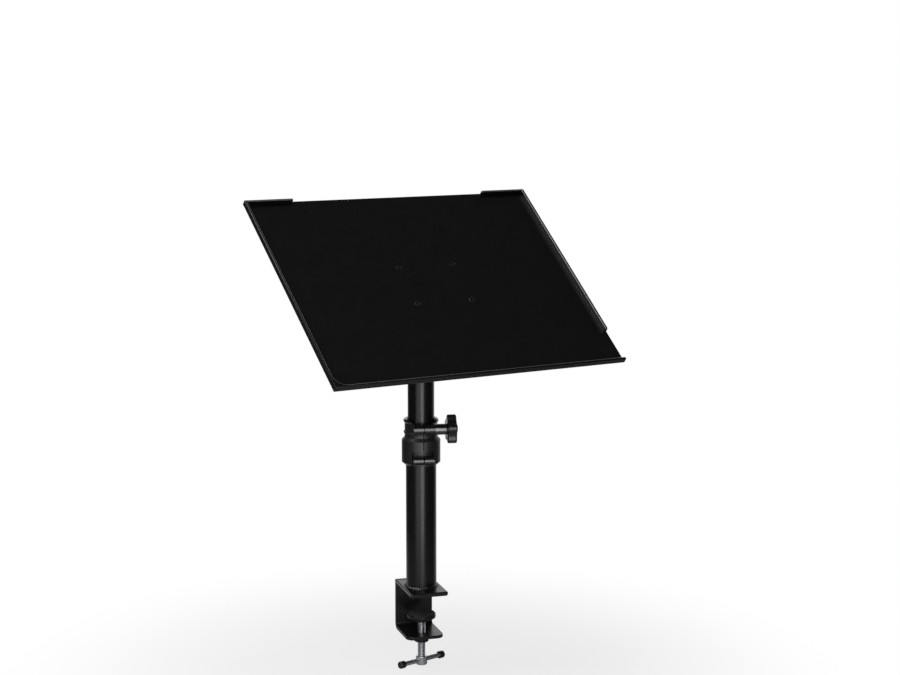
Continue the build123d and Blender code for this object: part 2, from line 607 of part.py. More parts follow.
def make_seat_pad():
    half = PLATE_HALF_WIDTH - PAD_INSET
    pad = block(-half, half, PLATE_FRONT + PAD_INSET, ARM_FRONT - PAD_INSET, 0, PAD_THICKNESS)
    return fillet(pad.edges().filter_by(Axis.Z), PLATE_CORNER)


def make_clamp_arm():
    """A flat bar bent once: its back hangs from the plate and its lower leg is the lower jaw."""
    inner, outer = ARM_BEND_RADIUS, ARM_BEND_RADIUS + ARM_THICKNESS
    points = [
        (ARM_FRONT, PLATE_TOP),
        (PLATE_BACK, PLATE_TOP),
        (PLATE_BACK, JAW_BOTTOM),
        (-JAW_REACH, JAW_BOTTOM),
        (-JAW_REACH, JAW_TOP),
        (ARM_FRONT, JAW_TOP),
    ]
    profile = make_face(Polyline(*points, close=True))
    heel = profile.vertices().sort_by_distance((PLATE_BACK, JAW_BOTTOM, 0))[0]
    profile = fillet(heel, outer)
    crook = profile.vertices().sort_by_distance((ARM_FRONT, JAW_TOP, 0))[0]
    profile = fillet(crook, inner)
    arm = extrude(Plane.YZ * profile, PLATE_HALF_WIDTH, both=True)
    nose = arm.edges().filter_by(Axis.Z).group_by(Axis.Y)[0]
    arm = fillet(nose, JAW_CORNER)
    arm -= upright(SPINDLE_RADIUS + LOOSE, JAW_BOTTOM - EPS, JAW_TOP + EPS)
    return arm - weld_groove()


def make_spindle_boss():
    return pipe(BOSS_RADIUS, SPINDLE_RADIUS + RUNNING, BOSS_BOTTOM, JAW_BOTTOM)


def make_pressure_disc():
    disc = upright(PRESSURE_DISC_RADIUS, PRESSURE_TOP - PRESSURE_DISC_HEIGHT, PRESSURE_TOP)
    disc = fillet(disc.edges().group_by(Axis.Z)[0], PRESSURE_EDGE)
    hub = upright(PRESSURE_HUB_RADIUS, HUB_BOTTOM, PRESSURE_TOP - PRESSURE_DISC_HEIGHT + PRESSURE_EDGE)
    socket_top = SPINDLE_SHOULDER + SPINDLE_NECK + FACE_GAP
    return disc + hub - upright(SPINDLE_NECK_RADIUS + RUNNING, HUB_BOTTOM - EPS, socket_top)


def make_disc_pad():
    return upright(PRESSURE_DISC_RADIUS - DISC_PAD_INSET, PRESSURE_TOP, DISC_PAD_TOP)


def make_clamp_spindle():
    screw = upright(SPINDLE_RADIUS, SPINDLE_END + SPINDLE_HEAD - EPS, SPINDLE_SHOULDER)
    neck = upright(SPINDLE_NECK_RADIUS, SPINDLE_SHOULDER - EPS, SPINDLE_SHOULDER + SPINDLE_NECK)
    head = upright(SPINDLE_HEAD_RADIUS, SPINDLE_END, SPINDLE_END + SPINDLE_HEAD)
    head = chamfer(head.edges().filter_by(GeomType.CIRCLE), SPINDLE_HEAD_EDGE)
    reach = SPINDLE_HEAD_RADIUS + EPS
    bore = TEE_PLACE * crosswise(TEE_RADIUS + RUNNING, -reach, reach)
    return screw + neck + head - bore


def make_tee_bar():
    reach = TEE_LENGTH / 2 - TEE_CAP_WALL
    return TEE_PLACE * crosswise(TEE_RADIUS, -reach, reach)


def make_tee_caps():
    end = TEE_LENGTH / 2
    cap = crosswise(TEE_CAP_RADIUS, end - TEE_CAP_LENGTH, end)
    cap = fillet(cap.edges().group_by(Axis.X)[-1], min(TEE_CAP_EDGE, FILLET_SHARE * TEE_CAP_RADIUS))
    cap -= crosswise(TEE_RADIUS, end - TEE_CAP_LENGTH - EPS, end - TEE_CAP_WALL)
    return Compound([TEE_PLACE * cap, TEE_PLACE * Rot(0, 0, 180) * cap])


PIECES = {
    "tray": make_tray,
    "tray_bracket": make_bracket,
    "bracket_screws": make_bracket_screws,
    "bracket_nuts": make_bracket_nuts,
    "pivot_bolt": make_pivot_bolt,
    "bolt_washer": make_bolt_washer,
    "knob_washer": make_knob_washer,
    "friction_discs": make_friction_discs,
    "tilt_knob": make_tilt_knob,
    "tilt_insert": make_tilt_insert,
    "tilt_head": make_tilt_head,
    "head_pin": head_pin_shape,
    "upper_tube": make_upper_tube,
    "guide_bush": make_guide_bush,
    "collar": make_collar,
    "collar_bolt": make_collar_bolt,
    "collar_nut": make_collar_nut,
    "knob_spacer": make_knob_spacer,
    "collar_knob": make_collar_knob,
    "knob_stud": make_knob_stud,
    "lower_tube": make_lower_tube,
    "tube_weld": make_tube_weld,
    "base_plate": make_base_plate,
    "seat_pad": make_seat_pad,
    "clamp_arm": make_clamp_arm,
    "arm_weld": make_arm_weld,
    "spindle_boss": make_spindle_boss,
    "pressure_disc": make_pressure_disc,
    "disc_pad": make_disc_pad,
    "clamp_spindle": make_clamp_spindle,
    "tee_bar": make_tee_bar,
    "tee_caps": make_tee_caps,
}

os.makedirs("parts", exist_ok=True)
for name, make in PIECES.items():
    export_step(make(), f"parts/{name}.step")
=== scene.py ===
import json
from math import atan2, cos, hypot, pi, radians, sin, sqrt, tan, tau

import bmesh
import bpy
from mathutils import Matrix, Vector


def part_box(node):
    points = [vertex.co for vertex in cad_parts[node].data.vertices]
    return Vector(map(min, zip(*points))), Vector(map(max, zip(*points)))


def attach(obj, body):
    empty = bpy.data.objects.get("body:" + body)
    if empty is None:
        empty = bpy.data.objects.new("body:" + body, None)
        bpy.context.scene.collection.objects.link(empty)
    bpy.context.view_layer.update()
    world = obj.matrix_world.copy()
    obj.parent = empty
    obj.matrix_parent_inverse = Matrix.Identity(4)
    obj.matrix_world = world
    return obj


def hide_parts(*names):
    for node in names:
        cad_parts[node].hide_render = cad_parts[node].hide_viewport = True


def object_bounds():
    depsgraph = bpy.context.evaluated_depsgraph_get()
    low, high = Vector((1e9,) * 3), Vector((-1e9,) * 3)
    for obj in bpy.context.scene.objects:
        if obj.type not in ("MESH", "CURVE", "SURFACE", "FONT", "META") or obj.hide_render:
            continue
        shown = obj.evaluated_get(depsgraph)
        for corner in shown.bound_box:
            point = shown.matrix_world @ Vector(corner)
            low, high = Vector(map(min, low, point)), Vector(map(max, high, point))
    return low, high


# Looks of a laptop desk on a table clamp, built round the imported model. Metres, +Z up.
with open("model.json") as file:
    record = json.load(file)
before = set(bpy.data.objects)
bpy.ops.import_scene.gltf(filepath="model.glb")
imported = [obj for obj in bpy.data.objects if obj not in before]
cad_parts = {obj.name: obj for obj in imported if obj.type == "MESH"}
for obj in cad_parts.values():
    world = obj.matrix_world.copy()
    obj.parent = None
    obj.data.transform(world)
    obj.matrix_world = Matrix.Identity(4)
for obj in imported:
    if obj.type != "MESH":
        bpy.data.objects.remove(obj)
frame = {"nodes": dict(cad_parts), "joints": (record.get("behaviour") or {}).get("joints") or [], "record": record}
bpy.context.view_layer.update()
cad_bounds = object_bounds()

record = frame["record"]
joints = {joint["name"]: joint for joint in frame["joints"]}
mounts = {mount["name"]: mount for mount in record["mounts"]}
body_of = {node: body for body, nodes in record["behaviour"]["bodies"].items() for node in nodes}

MM = 0.001
TINY = 1e-6
UP = Vector((0, 0, 1))

# Camera: fitted to the tray's corners, the tubes' edges and the plate's corners in the photograph
CAMERA_PLACE = Vector((-0.6231, -2.1785, 0.6501))
CAMERA_YAW = radians(16.87)
CAMERA_PITCH = radians(8.31)
CAMERA_LENS = 74.44
SENSOR_WIDTH = 36.0


# Places: frames of reference of the tilted and turned pieces
def place(origin, x_axis, z_axis):
    """The matrix that takes a piece from its own axes to where it is."""
    x, z = Vector(x_axis).normalized(), Vector(z_axis).normalized()
    y = z.cross(x)
    matrix = Matrix((x, y, z)).transposed().to_4x4()
    matrix.translation = Vector(origin)
    return matrix


def local_box(node, matrix):
    """Lowest and highest corner of a CAD node, along the axes of a place."""
    inverse = matrix.inverted()
    points = [inverse @ vertex.co for vertex in frame["nodes"][node].data.vertices]
    low = Vector([min(point[i] for point in points) for i in range(3)])
    high = Vector([max(point[i] for point in points) for i in range(3)])
    return low, high


def middle_of(node):
    low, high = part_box(node)
    return (low + high) / 2


TRAY_NORMAL = Vector(mounts["tray_floor"]["axis"])
TILT_DIRECTION = Vector(joints["tray_tilt"]["axis"])
COLLAR_DIRECTION = Vector(joints["knob_release"]["axis"])
UPRIGHT = Matrix.Identity(4)
TRAY = place(joints["tray_tilt"]["pos_m"], TILT_DIRECTION, TRAY_NORMAL)
TILT_AXIS = place(joints["tray_tilt"]["pos_m"], -TRAY_NORMAL, TILT_DIRECTION)
KNOB_AXIS = place(joints["collar_knob_turn"]["pos_m"], -UP, COLLAR_DIRECTION)
SCREW_AXIS = place(middle_of("collar_nut"), -UP, COLLAR_DIRECTION)
PIN_AXIS = place(middle_of("head_pin"), UP, TILT_DIRECTION)
TEE_AXIS = place(middle_of("tee_bar"), UP, joints["tee_slide"]["axis"])


# Outlines
def rounded(outline, radii, steps=4):
    """A closed outline with its corners rounded; a radius of 0 leaves a corner sharp."""
    if isinstance(radii, (int, float)):
        radii = [radii] * len(outline)
    corners = [Vector(corner) for corner in outline]
    points = []
    for i, radius in enumerate(radii):
        corner = corners[i]
        if not radius:
            points.append(corner)
            continue
        before = (corners[i - 1] - corner).normalized()
        after = (corners[(i + 1) % len(corners)] - corner).normalized()
        half = before.angle(after) / 2
        centre = corner + (before + after).normalized() * radius / sin(half)
        start = corner + before * radius / tan(half) - centre
        end = corner + after * radius / tan(half) - centre
        turn = atan2(start.cross(end), start.dot(end))
        points += [centre + Matrix.Rotation(turn * k / steps, 2) @ start for k in range(steps + 1)]
    return points


def rectangle(x0, x1, y0, y1):
    return [(x0, y0), (x1, y0), (x1, y1), (x0, y1)]


def quarter(steps):
    """Angles from 0 to 90 degrees, in even steps."""
    return [pi / 2 * k / steps for k in range(steps + 1)]


# Solids
def join_rings(bm, low, high):
    """Faces between two rings of vertices; a ring of one vertex is a point on the axis."""
    count = max(len(low), len(high))
    if count == 1:
        return
    for i in range(count):
        k = (i + 1) % count
        if len(low) == 1:
            bm.faces.new((low[0], high[k], high[i]))
        elif len(high) == 1:
            bm.faces.new((low[i], low[k], high[0]))
        else:
            bm.faces.new((low[i], low[k], high[k], high[i]))


def lathe(profile, steps=96):
    """A solid turned about the Z axis from a closed outline of (radius, height) points."""
    bm = bmesh.new()
    rings = []
    for radius, height in profile:
        if radius < TINY:
            rings.append([bm.verts.new((0, 0, height))])
        else:
            turns = [tau * i / steps for i in range(steps)]
            rings.append([bm.verts.new((radius * cos(t), radius * sin(t), height)) for t in turns])
    for low, high in zip(rings, rings[1:] + rings[:1]):
        join_rings(bm, low, high)
    return bm


def stacked(sections):
    """A solid through a stack of closed outlines, each an (outline, height) pair, with flat ends."""
    bm = bmesh.new()
    rings = []
    for outline, height in sections:
        rings.append([bm.verts.new((point[0], point[1], height)) for point in outline])
    for low, high in zip(rings, rings[1:]):
        join_rings(bm, low, high)
    bm.faces.new(rings[0][::-1])
    bm.faces.new(rings[-1])
    return bm


def rod(radius, bottom, top, edge, steps=64):
    """A round bar on the Z axis with rounded ends."""
    outline = [(0, bottom), (radius, bottom), (radius, top), (0, top)]
    return lathe(rounded(outline, [0, edge, edge, 0]), steps)


def ring(outer, inner, bottom, top, edge, steps=64):
    """A round tube or washer on the Z axis, with rounded edges."""
    return lathe(rounded(rectangle(inner, outer, bottom, top), edge), steps)


def bevel(bm, edges, width, steps):
    """Rounds edges of a solid."""
    bmesh.ops.bevel(
        bm, geom=edges, offset=width, segments=steps, profile=0.5, affect="EDGES", clamp_overlap=True
    )


def prism(outline, bottom, top, edge=0.0):
    """An upright prism with its bottom and top edges rounded."""
    bm = bmesh.new()
    face = bm.faces.new([bm.verts.new((point[0], point[1], bottom)) for point in outline])
    raised = bmesh.ops.extrude_face_region(bm, geom=[face])["geom"]
    moved = [item for item in raised if isinstance(item, bmesh.types.BMVert)]
    bmesh.ops.translate(bm, verts=moved, vec=(0, 0, top - bottom))
    if edge:
        level = [e for e in bm.edges if abs(e.verts[0].co.z - e.verts[1].co.z) < TINY]
        bevel(bm, level, edge, 3)
    return bm


FLAT_ANGLE = radians(0.4)    # faces that meet at less than this are one flat face
SHARP_ANGLE = radians(30)    # edges sharper than this are rounded
EDGE_OF = {                  # radius of the rounded edges of each node that keeps its CAD shape
    "tray_bracket": 0.5 * MM,
    "bracket_screws": 0.12 * MM,
    "tilt_head": 0.6 * MM,
    "collar": 0.35 * MM,
    "collar_bolt": 0.15 * MM,
    "clamp_arm": 0.6 * MM,
    "base_plate": 0.35 * MM,
    "seat_pad": 0.25 * MM,
}


def refined(node):
    """A CAD node's own shape with its sharp edges rounded."""
    bm = bmesh.new()
    bm.from_mesh(frame["nodes"][node].data)
    bmesh.ops.remove_doubles(bm, verts=bm.verts, dist=TINY)
    bmesh.ops.dissolve_limit(bm, angle_limit=FLAT_ANGLE, verts=bm.verts, edges=bm.edges)
    sharp = [e for e in bm.edges if len(e.link_faces) == 2 and e.calc_face_angle() > SHARP_ANGLE]
    bevel(bm, sharp, EDGE_OF[node], 2)
    return bm


HEX_CONE = radians(30)       # of the turned chamfer on a hexagon's corners
HEX_STEPS = 48
HEX_FACE = 0.47              # radius of a hexagon's flat end face, as a share of its width across flats


def hexagon(flats, bottom, top, bore=0.0, cone_below=True):
    """A hexagonal nut or screw head on the Z axis, its corners turned off to a cone."""
    inner = HEX_FACE * flats
    bm = bmesh.new()
    rings = [[] for _ in range(6)]
    for i in range(HEX_STEPS):
        t = tau * i / HEX_STEPS
        radius = flats / 2 / cos(t % (pi / 3) - pi / 6)
        drop = (radius - inner) * tan(HEX_CONE)
        drop_below = drop if cone_below else 0.0
        stations = [(bore, bottom), (inner, bottom), (radius, bottom + drop_below)]
        stations += [(radius, top - drop), (inner, top), (bore, top)]
        for ring_of, (r, z) in zip(rings, stations):
            ring_of.append(bm.verts.new((r * cos(t), r * sin(t), z)))
    if bore:
        for low, high in zip(rings, rings[1:] + rings[:1]):
            join_rings(bm, low, high)
        return bm
    bmesh.ops.delete(bm, geom=rings[0] + rings[5], context="VERTS")
    for low, high in zip(rings[1:4], rings[2:5]):
        join_rings(bm, low, high)
    bm.faces.new(rings[1][::-1])
    bm.faces.new(rings[4])
    return bm


def threaded(radius, pitch, bottom, top, depth, steps=40):
    """A screw thread on the Z axis between two heights, as one closed solid."""
    bm = bmesh.new()
    turns = int((top - bottom) / pitch) + 3
    root = radius - depth
    profile = [(0.0, radius), (0.12, radius), (0.42, root), (0.62, root), (1.0, radius)]
    columns = []
    for i in range(turns * steps + 1):
        t = tau * i / steps
        lift = bottom - 1.5 * pitch + pitch * i / steps
        column = [bm.verts.new((r * cos(t), r * sin(t), lift + share * pitch)) for share, r in profile]
        columns.append(column)
    for left, right in zip(columns, columns[1:]):
        for k in range(len(profile) - 1):
            bm.faces.new((left[k], right[k], right[k + 1], left[k + 1]))
    bmesh.ops.remove_doubles(bm, verts=bm.verts, dist=TINY)
    for height, outward in ((bottom, -UP), (top, UP)):
        everything = bm.verts[:] + bm.edges[:] + bm.faces[:]
        bmesh.ops.bisect_plane(
            bm, geom=everything, plane_co=UP * height, plane_no=outward, clear_outer=True
        )
    bmesh.ops.holes_fill(bm, edges=[e for e in bm.edges if e.is_boundary], sides=0)
    return bm


def as_mesh(name, bm):
    """A mesh out of a solid, which is used up."""
    mesh = bpy.data.meshes.new(name)
    bm.to_mesh(mesh)
    bm.free()
    return mesh


def linked(name, data):
    """A new object in the scene."""
    made = bpy.data.objects.new(name, data)
    bpy.context.scene.collection.objects.link(made)
    return made


def merged(*solids):
    """Several closed solids in one mesh, kept apart."""
    whole = bmesh.new()
    for bm in solids:
        mesh = as_mesh("part", bm)
        whole.from_mesh(mesh)
        bpy.data.meshes.remove(mesh)
    return whole


def combined(base, *steps):
    """A solid after a row of (operation, solid) steps: UNION, DIFFERENCE or INTERSECT."""
    objects = []
    for bm in (base, *[solid for _, solid in steps]):
        bmesh.ops.recalc_face_normals(bm, faces=bm.faces)
        objects.append(linked("part", as_mesh("part", bm)))
    for (operation, _), other in zip(steps, objects[1:]):
        step = objects[0].modifiers.new("step", "BOOLEAN")
        step.operation = operation
        step.solver = "EXACT"
        step.object = other
    graph = bpy.context.evaluated_depsgraph_get()
    mesh = bpy.data.meshes.new_from_object(objects[0].evaluated_get(graph))
    whole = bmesh.new()
    whole.from_mesh(mesh)
    bpy.data.meshes.remove(mesh)
    for part in objects:
        bpy.data.objects.remove(part)
    return whole


# Pieces
def piece(name, bm, matrix, look, *nodes, angle=35):
    """Puts a solid where it is, gives it its material and lets it stand for its CAD nodes."""
    bm.transform(matrix)
    bmesh.ops.recalc_face_normals(bm, faces=bm.faces)
    mesh = as_mesh(name, bm)
    mesh.shade_smooth()
    mesh.set_sharp_from_angle(angle=radians(angle))
    mesh.materials.append(look)
    made = linked(name, mesh)
    even = made.modifiers.new("even_shading", "WEIGHTED_NORMAL")
    even.keep_sharp = True
    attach(made, body_of[nodes[0]])
    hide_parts(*nodes)
    return made


def dress(look, *nodes):
    """Gives CAD nodes that stay a finished material."""
    for node in nodes:
        for slot in frame["nodes"][node].material_slots:
            slot.link = "OBJECT"
            slot.material = look


# Materials
def feed(tree, value, socket):
    """Links a value to a socket, or sets it there if it is a number, a vector or a colour."""
    if isinstance(value, bpy.types.NodeSocket):
        tree.links.new(value, socket)
    else:
        socket.default_value = value


def calculated(tree, operation, values):
    """One value out of several, by an operation on each pair in turn."""
    made = values[0]
    for value in values[1:]:
        step = tree.nodes.new("ShaderNodeMath")
        step.operation = operation
        feed(tree, made, step.inputs[0])
        feed(tree, value, step.inputs[1])
        made = step.outputs[0]
    return made


def largest(tree, *values):
    return calculated(tree, "MAXIMUM", values)


def product(tree, *values):
    return calculated(tree, "MULTIPLY", values)


def dot(tree, first, second):
    """How far two vectors point the same way."""
    made = tree.nodes.new("ShaderNodeVectorMath")
    made.operation = "DOT_PRODUCT"
    feed(tree, first, made.inputs[0])
    feed(tree, second, made.inputs[1])
    return made.outputs["Value"]


NOISE_RANGE = (0.3, 0.7)                # most of a noise lies between these
WEAR_PATCHES = (0.35, 0.7, 0.1, 1.0)    # of wear along edges: two values of a noise, two strengths
EDGE_LIKENESS = (0.995, 0.85, 0.0, 1.0)  # of a softened normal to the true one: on faces, on edges
BEVEL_SAMPLES = 6
COAT_TINT = 0.04                        # towards blue
NYLON_TINT = 0.03


class Look:
    """A material under construction: its nodes, and short ways to add them."""

    def __init__(self, name):
        self.material = bpy.data.materials.new(name)
        self.material.use_nodes = True
        self.tree = self.material.node_tree
        self.shader = self.tree.nodes["Principled BSDF"]
        self.where = self.tree.nodes.new("ShaderNodeTexCoord").outputs["Object"]

    def node(self, kind, **inputs):
        made = self.tree.nodes.new(kind)
        for name, value in inputs.items():
            feed(self.tree, value, made.inputs[name.replace("_", " ")])
        return made

    def set(self, name, value):
        feed(self.tree, value, self.shader.inputs[name])

    def noise(self, scale, detail=2.0, stretch=(1, 1, 1)):
        """Noise whose grains are 1/scale metres across, from 0 to 1."""
        where = self.where
        if stretch != (1, 1, 1):
            where = self.node("ShaderNodeMapping", Vector=where, Scale=stretch).outputs["Vector"]
        return self.node("ShaderNodeTexNoise", Vector=where, Scale=scale, Detail=detail).outputs["Fac"]

    def spread(self, value, low, high, to_low, to_high):
        """A value carried over from one range to another."""
        limits = {"From_Min": low, "From_Max": high, "To_Min": to_low, "To_Max": to_high}
        return self.node("ShaderNodeMapRange", Value=value, **limits).outputs["Result"]

    def blend(self, share, first, second):
        """A colour between two, by a share that varies over the surface."""
        made = self.tree.nodes.new("ShaderNodeMix")
        made.data_type = "RGBA"
        self.tree.links.new(share, made.inputs["Factor"])
        for socket, colour in (("A", first), ("B", second)):
            target = [s for s in made.inputs if s.name == socket and s.type == "RGBA"][0]
            value = colour if isinstance(colour, bpy.types.NodeSocket) else (*colour, 1)
            feed(self.tree, value, target)
        return [s for s in made.outputs if s.type == "RGBA"][0]

    def edges(self, radius):
        """1 on edges and 0 on faces, softened over a radius."""
        soft = self.node("ShaderNodeBevel", Radius=radius)
        soft.samples = BEVEL_SAMPLES
        true = self.tree.nodes.new("ShaderNodeNewGeometry").outputs["Normal"]
        return self.spread(dot(self.tree, soft.outputs["Normal"], true), *EDGE_LIKENESS)

    def worn(self, radius, scale):
        """Edges that are worn in patches."""
        patches = self.spread(self.noise(scale, 5), *WEAR_PATCHES)
        return product(self.tree, self.edges(radius), patches)

    def colour(self, body, bare, worn, share):
        """A body colour, and up to a share of a bare one where the piece is worn."""
        self.set("Base Color", self.blend(product(self.tree, worn, share), body, bare))

    def roughness(self, marks, low, high):
        self.set("Roughness", self.spread(marks, *NOISE_RANGE, low, high))

    def relief(self, heights, radius=None):
        """Bumps, each a (height, depth in metres) pair, on faces with edges softened by a radius."""
        normal = None
        if radius:
            normal = self.node("ShaderNodeBevel", Radius=radius).outputs["Normal"]
        for height, depth in heights:
            made = self.node("ShaderNodeBump", Strength=1.0, Distance=depth, Height=height)
            if normal is not None:
                self.tree.links.new(normal, made.inputs["Normal"])
            normal = made.outputs["Normal"]
        self.tree.links.new(normal, self.shader.inputs["Normal"])


def grey(value, tint=0.0):
    return (value, value, value * (1 + tint))


def powder_coat(name, low, high, rough_low, rough_high, specular):
    """Satin black powder coat: orange peel, faint clouding, rubbed edges."""
    look = Look(name)
    body = look.blend(look.noise(30, 4), grey(low, COAT_TINT), grey(high, COAT_TINT))
    look.colour(body, grey(0.02 + 1.2 * high), look.worn(0.7 * MM, 140), 0.4)
    look.roughness(look.noise(60, 6), rough_low, rough_high)
    look.set("Specular IOR Level", specular)
    look.relief([(look.noise(620, 1), 0.006 * MM), (look.noise(2600, 2), 0.004 * MM)], 0.35 * MM)
    return look.material


def moulded(name, rough_low, rough_high, specular, lacquer=0.0):
    """Black moulded nylon: fine spark-eroded grain, a little rubbed on the edges."""
    look = Look(name)
    body = look.blend(look.noise(25, 4), grey(0.005, NYLON_TINT), grey(0.0075, NYLON_TINT))
    look.colour(body, grey(0.05), look.worn(0.6 * MM, 220), 0.5)
    look.roughness(look.noise(90, 6), rough_low, rough_high)
    look.set("Specular IOR Level", specular)
    look.set("Coat Weight", lacquer)
    look.set("Coat Roughness", 0.16)
    look.relief([(look.noise(3400, 3), 0.016 * MM), (look.noise(900, 1), 0.006 * MM)], 0.3 * MM)
    return look.material


def rubber():
    look = Look("rubber")
    look.set("Base Color", look.blend(look.noise(160, 5), grey(0.010), grey(0.018)))
    look.roughness(look.noise(400, 3), 0.72, 0.88)
    look.set("Specular IOR Level", 0.25)
    look.relief([(look.noise(2200, 3), 0.03 * MM)], 0.2 * MM)
    return look.material


def metal(name, low, high, rough_low, rough_high, stretch, depth):
    """Bare or plated metal with fine drawn marks along one direction."""
    look = Look(name)
    marks = look.noise(1800, 3, stretch)
    worn = product(look.tree, look.edges(0.4 * MM), look.noise(300, 4))
    body = look.blend(look.noise(180, 4), low, high)
    look.colour(body, grey(0.72), worn, 0.6)
    look.set("Metallic", 1.0)
    look.roughness(marks, rough_low, rough_high)
    look.relief([(marks, depth)], 0.2 * MM)
    return look.material


COAT = powder_coat("powder_coat", 0.0022, 0.0034, 0.25, 0.31, 0.36)
# A coat many times lighter than the body coat, for the rims' inner rolled edges: a painted highlight line along
# the rim
PAINTED_HIGHLIGHT_COAT = powder_coat("coat_painted_highlight", 0.07, 0.11, 0.25, 0.35, 0.5)
WELD = powder_coat("coated_weld", 0.002, 0.003, 0.14, 0.2, 0.45)
NYLON = moulded("moulded_nylon", 0.24, 0.32, 0.5)
CASING = moulded("collar_nylon", 0.38, 0.48, 0.5)
RUBBED = moulded("rubbed_nylon", 0.17, 0.24, 0.5, 0.2)
GLOSSY = moulded("glossy_nylon", 0.14, 0.2, 0.7, 0.6)
RUBBER = rubber()
OXIDE = metal("black_oxide", grey(0.035), grey(0.07), 0.3, 0.42, (1, 1, 1), 0.006 * MM)
ZINC = metal("zinc_plate", (0.50, 0.51, 0.54), (0.62, 0.63, 0.65), 0.2, 0.34, (1, 1, 0.1), 0.004 * MM)
BRASS = metal("brass", (0.58, 0.42, 0.18), (0.70, 0.52, 0.24), 0.22, 0.36, (1, 1, 1), 0.004 * MM)
CAST = metal("coated_casting", grey(0.02), grey(0.035), 0.42, 0.55, (1, 1, 1), 0.02 * MM)


# Fits, as in the CAD
RUNNING = 0.06 * MM          # round a shaft in the bore that it turns or slides in
FACE_GAP = 0.1 * MM          # between flat faces that move past each other
LOOSE_BORE = 4.3 * MM        # radius of a hole that an M8 thread passes through
CUT = 20.0 * MM              # how far a cutting solid reaches out of what it cuts


# Tray
TRAY_SHEET = 2.0 * MM
RIM_WIDTH = 3.5 * MM
RIM_CORNER = 15.0 * MM
RIM_BEND = 1.2 * MM          # where the floor turns up into a rim
RIM_TOP_EDGE = 1.0 * MM
RIM_ROLL = 1.9 * MM          # the hem's rolled edge towards the floor
RIGHT_RIM_START = 50.0 * MM
RIGHT_RIM_CORNER = 2.5 * MM
LIP_LENGTH = 65.0 * MM
LIP_WIDTH = 2.4 * MM
LIP_CORNER = 2.0 * MM
LIP_EDGE = 0.96 * MM
LIP_ROOT = 0.3 * MM          # how far a lip's foot stands above the tray's underside
SCREW_RADIUS = 2.0 * MM
SCREW_HEAD_RADIUS = 4.0 * MM
SCREW_HEAD_HEIGHT = 2.0 * MM
Z_TO_X = Matrix(((0, 0, 1, 0), (1, 0, 0, 0), (0, 1, 0, 0), (0, 0, 0, 1)))    # X to Y, Y to Z, Z to X
# Rounded inner rim faces within this slope get the lighter coat, a painted highlight line
PAINTED_HIGHLIGHT_SLOPE = (0.1, 0.99)    # upward part of the normals of the rims' inner rounded edges


def rim_loop(low, high, inset, height, inner, steps=16):
    """One line of the left and front rim, from the back to the right: a square or rounded corner."""
    turn = RIM_WIDTH + RIM_CORNER
    centre = Vector((low.x + turn, low.y + turn))
    points = [(low.x + inset, high.y)]
    for k in range(steps + 1):
        a = pi + pi / 2 * k / steps
        direction = Vector((cos(a), sin(a)))
        if inner:
            reach = direction * (turn - inset)
        else:
            reach = direction * (turn - inset) / max(abs(direction.x), abs(direction.y))
        points.append(tuple(centre + reach))
    points.append((high.x, low.y + inset))
    return [(x, y, height) for x, y in points]


def tray_sheet(low, high):
    """Floor with the hemmed rim on the left and front, as one closed sheet."""
    under, floor, top = low.z, low.z + TRAY_SHEET, high.z
    loops = [rim_loop(low, high, RIM_WIDTH, under, True)]
    for a in quarter(4):
        inset, height = RIM_BEND * (1 - sin(a)), under + RIM_BEND * (1 - cos(a))
        loops.append(rim_loop(low, high, inset, height, False))
    loops.append(rim_loop(low, high, 0, top, False))
    for a in quarter(7):
        inset, height = RIM_WIDTH - RIM_ROLL * (1 - sin(a)), top - RIM_ROLL * (1 - cos(a))
        loops.append(rim_loop(low, high, inset, height, True))
    loops.append(rim_loop(low, high, RIM_WIDTH, floor, True))
    bm = bmesh.new()
    rows = [[bm.verts.new(point) for point in loop] for loop in loops]
    for lower, upper in zip(rows, rows[1:]):
        for i in range(len(lower) - 1):
            bm.faces.new((lower[i], lower[i + 1], upper[i + 1], upper[i]))
    far_under = bm.verts.new((high.x, high.y, under))
    far_floor = bm.verts.new((high.x, high.y, floor))
    bm.faces.new(rows[0] + [far_under])
    bm.faces.new(rows[-1] + [far_floor])
    bm.faces.new([row[0] for row in rows] + [far_floor, far_under])
    bm.faces.new([row[-1] for row in rows] + [far_floor, far_under])
    return bm


def upright_lip(x0, x1, under, top, y0, y1):
    """A short wall along X with its upper corners and edges rounded."""
    outline = rounded(rectangle(x0, x1, under, top), [0, 0, LIP_CORNER, LIP_CORNER])
    bm = prism(outline, -y1, -y0, LIP_EDGE)
    bm.transform(Matrix.Rotation(radians(90), 4, "X"))
    return bm


def right_rim(low, high):
    """The rim on the right, its front end rounded down to the sheet."""
    sides = rectangle(low.y + RIGHT_RIM_START, high.y, low.z + LIP_ROOT, high.z)
    outline = rounded(sides, [0, 0, LIP_CORNER, RIGHT_RIM_CORNER])
    bm = prism(outline, high.x - RIM_WIDTH, high.x, RIM_TOP_EDGE)
    bm.transform(Z_TO_X)
    return bm


def countersink(floor):
    """What a screw and its countersunk head take out of the sheet, on the Z axis."""
    shank, head = SCREW_RADIUS + RUNNING, SCREW_HEAD_RADIUS + RUNNING
    outline = [(0, -CUT), (shank, -CUT), (shank, -SCREW_HEAD_HEIGHT), (head, 0), (head, MM), (0, MM)]
    bm = lathe(outline, 48)
    bmesh.ops.translate(bm, verts=bm.verts, vec=(0, 0, floor))
    return bm


def screw_places():
    """The four screws of the bracket, in the tray's own axes."""
    low, high = local_box("bracket_screws", TRAY)
    x, y = high.x - SCREW_HEAD_RADIUS, high.y - SCREW_HEAD_RADIUS
    return [(-x, -y), (-x, y), (x, -y), (x, y)]


